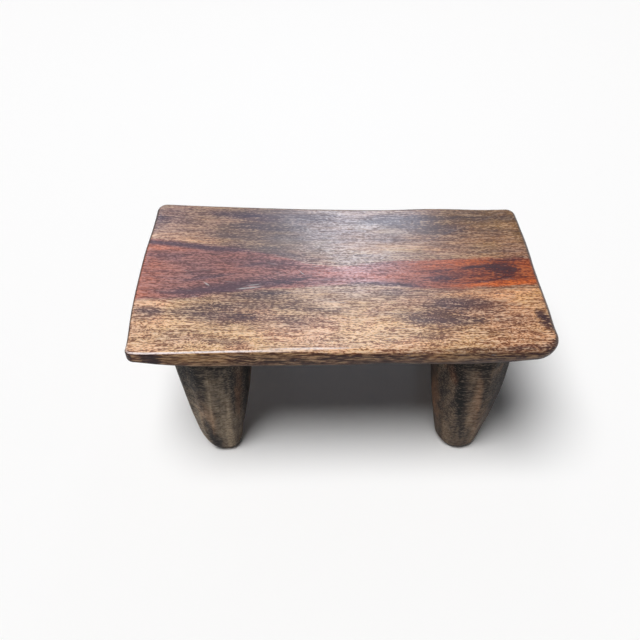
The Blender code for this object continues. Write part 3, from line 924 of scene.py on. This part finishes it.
def streaks_total(n, groups, table, along, across, ragged):
    """The sum of a table's streaks. Each is added as it is made, so that few values wait at one time."""
    total = 0.0
    for row in table:
        start_x, start_y, end_x, end_y, half_width, shown, sag = (*row, 0)[:7]
        streak = n.group(groups["streak"], Along=along, Across=across, Ragged=ragged,
                         Start_Along=start_x * MM, Start_Across=start_y * MM,
                         End_Along=end_x * MM, End_Across=end_y * MM,
                         Sag=sag * MM, Half_Width=half_width * MM, Strength=shown)
        total = total + streak["Mask"]
    return total


def start_material(name):
    material = bpy.data.materials.new(name)
    material.use_nodes = True
    material.node_tree.nodes.clear()
    return NodeBench(material.node_tree)


def surface(n, **links):
    """The material's own shader and its output."""
    shader = n.add("ShaderNodeBsdfPrincipled", **links)
    output = n.node("ShaderNodeOutputMaterial", Surface=shader)
    output.is_active_output = True


def wood_places(n, groups, wave, curl, curliness):
    """What both woods start from: the place, plain and bent, the facing, and the marks of fibres and use."""
    place = n.add("ShaderNodeTexCoord", output="Object")
    flow = n.group(groups["flow"], Vector=place, Wave=wave, Curl=curl)
    fibre = n.group(groups["fibre"], Vector=flow["Vector"], Curliness=flow["Curliness"] * curliness)
    use = n.group(groups["use"], Vector=place)
    marks = {name.lower(): value for name, value in (fibre | use).items()}
    facing = n.add("ShaderNodeNewGeometry", output="Normal")
    return SimpleNamespace(place=place, bent=flow["Vector"], facing=facing, **marks)


# The seat's wood

def seat_places(n, groups):
    """Where things are on the seat: places, marks of the fibres and masks of its parts."""
    at = wood_places(n, groups, wave=0.009, curl=0.0100, curliness=0.7)
    at.along, at.across, _ = at.bent.parts()
    at.x, at.y, at.z = at.place.parts()
    at.heart = n.group(groups["heart"], Along=at.along, Across=at.across,
                       Ragged=n.lerp(0.4, at.streaks, at.dashes))["Heart"]
    _, _, at.upward = at.facing.parts()
    at.near_front = at.y.between(-0.120, -0.134)
    at.on_front = at.near_front * at.upward.between(0.72, 0.46)
    at.front_gold = at.y.between(-0.010, -0.130) * (1.0 - at.on_front)
    at.right_end = at.x.between(0.060, 0.220)
    # Where the window's sheen falls on the back of the top; the colour there is painted to go with the sheen
    at.middle_back = abs(at.x).between(0.170, 0.060) * at.y.between(0.010, 0.060)
    return at


def seat_ground(n, groups, finish, at):
    """Ground colour of the sapwood and the heartwood, under the dashes, with painted sheen in a few places.
    """
    ragged = at.streaks * 0.45 + at.dashes * 0.55
    sap_stain, sap_glow, heart_stain, heart_glow = (
        streaks_total(n, groups, table, at.along, at.across, ragged)
        for table in (SAP_STAINS, SAP_GLOWS, HEART_STAINS, HEART_GLOWS))
    # Fewer stains where the window's sheen falls: a painted wash of the sheen
    sap_stain = sap_stain * (1.0 - at.middle_back * 0.35)
    at.stain = n.lerp(at.heart, sap_stain, heart_stain)

    # A tone of 0 is darkest and 1 palest
    figure = (at.bands - 0.5) * 0.48 + (at.streaks - 0.5) * 0.42
    figure = figure * n.lerp(at.front_gold, 1.0, 0.72)
    sap_tone = (0.54 + figure - at.right_end * 0.065 - sap_stain * 0.75 + sap_glow + at.front_gold * 0.26
                - at.y.between(0.030, 0.120, 0.0, 0.095) - at.on_front * 0.18)
    heart_tone = 0.535 + figure * 0.8 - heart_stain * 0.85 + heart_glow
    sap = colour_ramp(n, sap_tone, tones(finish.sap_dark, finish.sap_gold, (
        (0.0, 0.0), (0.25, 0.10), (0.45, 0.30), (0.65, 0.58), (0.9, 1.0))))
    red = colour_ramp(n, heart_tone, tones(finish.heart_dark, finish.heart_red, (
        (0.0, 0.0), (0.25, 0.12), (0.45, 0.34), (0.65, 0.62), (0.9, 1.0))))

    sap = n.tint(at.smears.between(0.42, 0.60), sap, (1.03, 0.95, 1.06))
    sap = n.tint(at.right_end, sap, (1.0, 0.88, 0.76))
    sap = n.tint(at.right_end * at.y.between(0.020, 0.090), sap, (0.95, 0.93, 0.64))
    # Greyer and darker where the window's sheen falls, and darker just left of it: painted to match the
    # sheen, not a colour of the wood
    sap = n.tint(at.middle_back, sap, (0.86, 0.93, 0.94))
    left_of_shine = at.x.between(-0.115, -0.065) * at.x.between(0.010, -0.020)
    sap = n.tint(left_of_shine * at.middle_back, sap, (0.90, 0.88, 0.82))
    # Cooler, bluer sapwood at the back of the left end: a painted sheen of the light behind the stool
    left_back_sheen = at.x.between(-0.200, -0.240) * at.y.between(0.000, 0.060)
    sap = n.tint(left_back_sheen, sap, (1.06, 1.10, 1.24))
    red = n.tint(at.right_end, red, (1.24, 1.02, 0.55))
    red = n.tint(abs(at.x).between(0.110, 0.020), red, (1.03, 0.84, 0.76))
    # Pale lilac haze over the left heartwood: partly dust, partly a painted sheen of the light from behind
    dust_and_sheen = at.x.between(-0.268, -0.225) * at.x.between(-0.050, -0.120)
    red = n.blend(dust_and_sheen * 0.19, red, (0.42, 0.34, 0.37))
    return n.blend(at.heart, sap, red)


def seat_fibres(n, at, colour):
    """Dark dashes, which crowd together in the stains, with pale fibres, lines and pores between them."""
    face_grain = n.grain(at.bent, (0.014, 0.0026, 0.0020), detail=3.0, roughness=0.60, seed=16)
    at.crowding = n.lerp(at.on_front, at.dashes, face_grain) + at.stain * 0.22 - (at.streaks - 0.5) * 0.25
    at.dark_dash = at.crowding.between(0.51, 0.565)
    # The dashes are fainter towards the back and where the window's sheen falls: a painted wash of the sheen
    depth = (n.lerp(at.heart, at.front_gold * 0.14 + 0.84, 0.82) + at.on_front * 0.30
             - at.y.between(0.030, 0.090, 0.0, 0.16) - at.middle_back * 0.36)
    dash = n.blend(at.heart, (0.33, 0.25, 0.31), (0.38, 0.22, 0.25))
    dash = n.blend(at.stain * 2.0, (0.30, 0.20, 0.17), dash)
    colour = n.tint(at.dark_dash * depth, colour, dash)

    # Fewer pale fibres where the window's sheen falls: a painted wash of the sheen
    pale_share = at.front_gold * 0.38 + 0.26 + at.on_front * 0.34 - at.middle_back * 0.14
    pale_share = n.lerp(at.heart, pale_share, 0.34)
    heart_pale = n.blend(at.right_end, (0.54, 0.29, 0.24), (0.60, 0.23, 0.09))
    pale = n.blend(at.heart, (0.86, 0.64, 0.46), heart_pale)
    colour = n.blend(at.crowding.between(0.47, 0.40) * pale_share, colour, pale)

    line_depth = n.lerp(at.heart, 0.30, 0.50) * at.smears.between(0.40, 0.58, 0.4, 1.0)
    colour = n.tint(at.lines * line_depth, colour, (0.34, 0.25, 0.30))
    return n.blend(at.pores * 0.45, colour, (0.045, 0.026, 0.028))


def seat_wear(n, groups, at, colour):
    """Front face darker, with painted shade at its lower edge; turned edges dark with handling and painted
    shade; the arris and lip rubbed pale with a painted highlight; and the raw underside.
    """
    # The front face is browner and darker than the top, and darker still towards its lower edge: painted
    # shade at that edge
    colour = n.tint(at.on_front, colour, (0.84, 0.71, 0.50))
    colour = n.tint(at.on_front * at.z.between(0.222, 0.204), colour, (0.66, 0.66, 0.72))

    # Pale lilac line along the front arris and lip: partly rubbed wear, partly a painted highlight of the
    # light from behind
    arris = at.near_front * at.upward.between(0.985, 0.92) * at.upward.between(0.60, 0.74)
    rubbed_and_highlit = arris * at.x.between(-0.04, -0.13) * at.x.between(-0.268, -0.254)
    lip_wear_and_highlight = streaks_total(n, groups, LIP_WEAR_AND_HIGHLIGHT, at.x, at.y, at.dashes)
    rubbed_and_highlit = rubbed_and_highlit + lip_wear_and_highlight * at.upward.between(0.66, 0.90)
    rubbed_and_highlit = rubbed_and_highlit * at.crowding.between(0.60, 0.44, 0.60, 1.0)
    colour = n.blend(rubbed_and_highlit, colour, (0.94, 0.84, 0.83))

    at.below = at.upward.between(-0.05, -0.6)
    colour = n.blend(at.below * 0.75, colour, (0.055, 0.040, 0.032))
    # Edges that turn away from straight up are darkened, most along the front, at the right end and at the
    # back: partly grime from handling, partly painted shade
    handled_and_shaded = n.math("MAXIMUM", at.y.between(-0.138, -0.120) * at.upward.between(0.30, 0.65, 0.45, 0.78),
                     at.x.between(-0.02, 0.20, 0.0, 0.40))
    back_edge = at.y.between(0.126, 0.138, 0.0, 0.35)
    turned = at.upward.between(0.985, 0.84) * (handled_and_shaded + 0.08 + back_edge)
    colour = n.blend(turned, colour, (0.030, 0.022, 0.024))
    at.worn_lines = at.scratches * 0.30 + streaks_total(n, groups, SCRATCHES, at.x, at.y, at.dashes)
    return n.blend(at.worn_lines, colour, (0.62, 0.58, 0.56))


def seat_wood(finish, groups):
    """Waxed slab: gold sapwood with dark fibres and stains, and a band of red heartwood along the middle."""
    n = start_material("Waxed seat wood")
    at = seat_places(n, groups)
    colour = seat_ground(n, groups, finish, at)
    colour = seat_fibres(n, at, colour)
    colour = seat_wear(n, groups, at, colour)
    roughness = (0.33 + at.pores * 0.12 + (at.smears - 0.5) * 0.16 - at.right_end * 0.05
                 + at.dark_dash * 0.08 + at.below * 0.25 + at.worn_lines * 0.1)
    relief = (at.dashes.between(0.51, 0.57, 0.0, -0.35) - at.pores + (at.streaks - 0.5) * 0.35
              - at.scratches * 0.3)
    bump = n.add("ShaderNodeBump", Height=relief, Distance=finish.pore_depth, Strength=0.17)
    surface(n, Base_Color=colour, Roughness=roughness, Normal=bump, IOR=1.5, Specular_IOR_Level=0.15)


# The legs' wood

def leg_colour(n, groups, finish, at):
    """Colour of the dull dark stain, worn pale and with painted highlights on the arrises, red where the
    heartwood shows through, and with painted shade under the seat and on the inner sides.
    """
    x, y, z = at.place.parts()
    across = x + (y + 0.12) * 0.35
    ragged = at.upright * 0.6 + at.dashes * 0.4
    wear, stain, reds = (streaks_total(n, groups, table, z, across, ragged)
                         for table in (LEG_WEAR, LEG_STAINS, LEG_REDS))
    arris = n.add("ShaderNodeAttribute", {"attribute_name": "arris"}, "Fac")
    # Pale arrises: partly wear of the stain, partly a painted highlight
    worn_and_highlit = arris * at.grime.between(0.38, 0.58, 0.3, 1.0)
    left_leg = x.between(0.02, -0.02)
    lighter = z.between(0.180, 0.130, 0.02, 0.15) - z.between(0.085, 0.030, 0.0, 0.07)
    # Darker towards the top of each leg: painted shadow of the seat. The tone also grows lighter towards the
    # foot
    tone = (0.365 + wear - stain + worn_and_highlit * 0.30 + (at.upright - 0.5) * 0.9 + (at.streaks - 0.5) * 0.35
            + (at.grime - 0.5) * 0.8 + z.between(0.166, 0.196, 0.02, -0.20)
            + z.between(0.140, 0.050, -0.03, 0.06) + left_leg * lighter)
    colour = colour_ramp(n, tone, (
        (0.0, finish.leg_dark), (0.30, (0.056, 0.043, 0.036)), (0.55, (0.140, 0.101, 0.071)),
        (0.9, finish.leg_pale)))
    colour = n.tint(reds.between(0.0, 1.0, smooth=False), colour, (1.45, 0.85, 0.62))

    notches = n.grain(at.place, (0.016, 0.016, 0.0034), roughness=0.6, seed=17)
    notches = notches.between(0.55, 0.62) * at.smears.between(0.44, 0.54)
    colour = n.tint(notches * 0.72, colour, (0.32, 0.28, 0.27))
    # A dark band at the top of each leg, under the seat: painted contact shadow
    colour = n.tint(z.between(0.1740, 0.1800), colour, (0.34, 0.32, 0.32))
    sideways, _, _ = at.facing.parts()
    # Sides that face the other leg, and sides that face +X, are darkened: painted shade
    inner_shade = (sideways * n.math("SIGN", x)).between(-0.45, -0.90) * 0.45
    right_side_shade = sideways.between(0.40, 0.80) * z.between(0.050, 0.110, 0.40, 0.85)
    colour = n.tint(n.math("MAXIMUM", inner_shade, right_side_shade), colour, (0.34, 0.28, 0.28))
    colour = n.tint(left_leg, colour, (1.08, 1.18, 1.24))

    pale_share = abs(sideways).between(0.92, 0.60, 0.10, 0.30)
    crowding = at.dashes + stain * 0.10
    colour = n.tint(crowding.between(0.50, 0.58) * 0.55, colour, (0.26, 0.22, 0.22))
    colour = n.blend(crowding.between(0.46, 0.38) * pale_share, colour, (0.30, 0.23, 0.17))
    return n.blend(at.pores * 0.40, colour, (0.016, 0.012, 0.012))


def leg_wood(finish, groups):
    """Hewn legs: the same wood under a dull dark stain, worn pale and with painted highlights on the arrises,
    and with painted shade.
    """
    n = start_material("Hewn leg wood")
    at = wood_places(n, groups, wave=0.008, curl=0.0015, curliness=0.0)
    at.upright = n.grain(at.place, (0.0100, 0.0100, 0.070), detail=3.0, roughness=0.55, seed=12)
    colour = leg_colour(n, groups, finish, at)
    roughness = 0.56 + (at.grime - 0.5) * 0.25 + at.pores * 0.1
    relief = (at.dashes - 0.5) * 0.4 - at.pores + (at.upright - 0.5) * 1.2
    bump = n.add("ShaderNodeBump", Height=relief, Distance=finish.pore_depth, Strength=0.7)
    surface(n, Base_Color=colour, Roughness=roughness, Normal=bump, IOR=1.5, Specular_IOR_Level=0.09)


# The stage

def studio_floor(colour):
    n = start_material("Studio floor")
    cloud = n.grain(n.add("ShaderNodeTexCoord", output="Object"), (0.9, 0.9), seed=13)
    surface(n, Base_Color=n.blend(cloud * 0.02, tuple(colour), (0.9, 0.9, 0.9)), Roughness=0.9)


def studio_world(ambient):
    """A dim even room, behind which the camera, gloss and glass see white."""
    world = bpy.data.worlds.new("Studio")
    world.use_nodes = True
    world.node_tree.nodes.clear()
    n = NodeBench(world.node_tree)
    ray = n.outputs("ShaderNodeLightPath")
    seen = ray["Is Camera Ray"] + ray["Is Glossy Ray"] + ray["Is Transmission Ray"]
    room = n.add("ShaderNodeBackground", Color=(0.95, 0.97, 1.0, 1), Strength=ambient)
    backdrop = n.add("ShaderNodeBackground", Color=(1, 1, 1, 1), Strength=1.0)
    both = n.add("ShaderNodeMixShader", s0=n.math("MINIMUM", seen, 1.0), s1=room, s2=backdrop)
    n.node("ShaderNodeOutputWorld", Surface=both)
    bpy.context.scene.world = world


def add_light(name, kind, place, target, energy, colour):
    """A lamp at a place that shines on a target."""
    data = bpy.data.lights.new(name, kind)
    data.energy = energy
    data.color = colour
    aim = (Vector(target) - Vector(place)).to_track_quat("-Z", "Y")
    lamp = bpy.data.objects.new(name, data)
    lamp.matrix_world = Matrix.Translation(place) @ aim.to_matrix().to_4x4()
    bpy.context.scene.collection.objects.link(lamp)
    return lamp


def add_sheen_light(name, place, target, energy, size):
    """A cool rectangular light that shows in the wax and throws no shadow of its own."""
    lamp = add_light(name, "AREA", place, target, energy, SHEEN_COLOUR)
    lamp.data.shape = "RECTANGLE"
    lamp.data.size, lamp.data.size_y = size
    lamp.visible_diffuse = False


def place_camera(lens):
    pitch, yaw, roll = (math.radians(angle) for angle in (CAMERA_PITCH, CAMERA_YAW, CAMERA_ROLL))
    turn = (Matrix.Rotation(-yaw, 4, "Z") @ Matrix.Rotation(math.pi / 2 - pitch, 4, "X")
            @ Matrix.Rotation(-roll, 4, "Z"))
    data = bpy.data.cameras.new("Camera")
    data.sensor_width = 36
    data.lens = lens
    camera = bpy.data.objects.new("Camera", data)
    camera.matrix_world = Matrix.Translation(CAMERA_PLACE) @ turn
    bpy.context.scene.collection.objects.link(camera)
    bpy.context.scene.camera = camera


# Operators and panel

class STOOL_OT_set_stage(bpy.types.Operator):
    """Lay the pale floor and set up the soft light and the camera"""

    bl_idname = "stool.set_stage"
    bl_label = "Set Stage"

    def execute(self, context):
        stage = context.scene.stool.stage
        studio_floor(stage.floor_colour)
        reach = FLOOR_REACH
        corners = [(-reach, -reach, 0), (reach, -reach, 0), (reach, reach, 0), (-reach, reach, 0)]
        floor = plain_mesh("studio_floor", corners, [(0, 1, 2, 3)], bpy.data.materials["Studio floor"])
        studio_world(stage.ambient)
        sun = add_light("Overhead", "SUN", OVERHEAD_PLACE, OVERHEAD_AIM, stage.overhead, OVERHEAD_COLOUR)
        sun.data.angle = stage.softness
        add_sheen_light("Window", WINDOW_PLACE, WINDOW_AIM, stage.window, WINDOW_SIZE)
        add_sheen_light("Doorway", DOORWAY_PLACE, DOORWAY_AIM, stage.doorway, DOORWAY_SIZE)
        place_camera(stage.lens)
        context.scene.view_settings.view_transform = "Standard"
        return {"FINISHED"}


class STOOL_OT_mix_finishes(bpy.types.Operator):
    """Make the materials of the waxed seat and the hewn legs"""

    bl_idname = "stool.mix_finishes"
    bl_label = "Mix Finishes"

    def execute(self, context):
        groups = wood_groups()
        seat_wood(context.scene.stool.wood, groups)
        leg_wood(context.scene.stool.wood, groups)
        return {"FINISHED"}


class STOOL_OT_carve_seat(bpy.types.Operator):
    """Carve the slab seat, with its hollow, its worn edges and the mortises in its underside"""

    bl_idname = "stool.carve_seat"
    bl_label = "Carve Seat"

    def execute(self, context):
        settings = context.scene.stool
        seat = seat_mesh(settings.seat, bpy.data.materials["Waxed seat wood"])
        cut_mortises(seat, settings.seat, settings.legs)
        seat.data.set_sharp_from_angle(angle=SEAT_ARRIS)
        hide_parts("seat")
        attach(seat, "root")
        return {"FINISHED"}


class STOOL_OT_hew_legs(bpy.types.Operator):
    """Hew the four legs, each with its facets, rounded foot and tenon"""

    bl_idname = "stool.hew_legs"
    bl_label = "Hew Legs"

    def execute(self, context):
        settings = context.scene.stool
        height = settings.seat.height - settings.seat.thickness - FIT_GAP
        tree = hewn_leg_tree()
        for name in LEG_FEET:
            leg = hew_leg(name, tree, settings.legs, height, bpy.data.materials["Hewn leg wood"])
            if not leg.data.polygons:
                raise RuntimeError("no faces were made for the leg " + name)
            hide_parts("leg_" + name)
            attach(leg, "root")
        return {"FINISHED"}


class STOOL_PT_pieces(bpy.types.Panel):
    """Lists the stool's pieces with their sizes and colours"""

    bl_idname = "STOOL_PT_pieces"
    bl_label = "Carved Stool"
    bl_space_type = "VIEW_3D"
    bl_region_type = "UI"
    bl_category = "Stool"

    def draw(self, context):
        settings = context.scene.stool
        for operator, group in (("stool.set_stage", settings.stage), ("stool.mix_finishes", settings.wood),
                                ("stool.carve_seat", settings.seat), ("stool.hew_legs", settings.legs)):
            column = self.layout.box().column()
            column.operator(operator)
            for key in group.bl_rna.properties.keys():
                if key not in ("rna_type", "name"):
                    column.prop(group, key)


CLASSES = (SeatSizes, LegSizes, WoodFinish, StudioStage, StoolSettings, STOOL_OT_set_stage,
           STOOL_OT_mix_finishes, STOOL_OT_carve_seat, STOOL_OT_hew_legs, STOOL_PT_pieces)


def register():
    for cls in CLASSES:
        bpy.utils.register_class(cls)
    bpy.types.Scene.stool = bpy.props.PointerProperty(type=StoolSettings)


def unregister():
    del bpy.types.Scene.stool
    for cls in reversed(CLASSES):
        bpy.utils.unregister_class(cls)


def main():
    register()
    bpy.ops.stool.set_stage()
    bpy.ops.stool.mix_finishes()
    bpy.ops.stool.carve_seat()
    bpy.ops.stool.hew_legs()


if __name__ == "__main__":
    main()
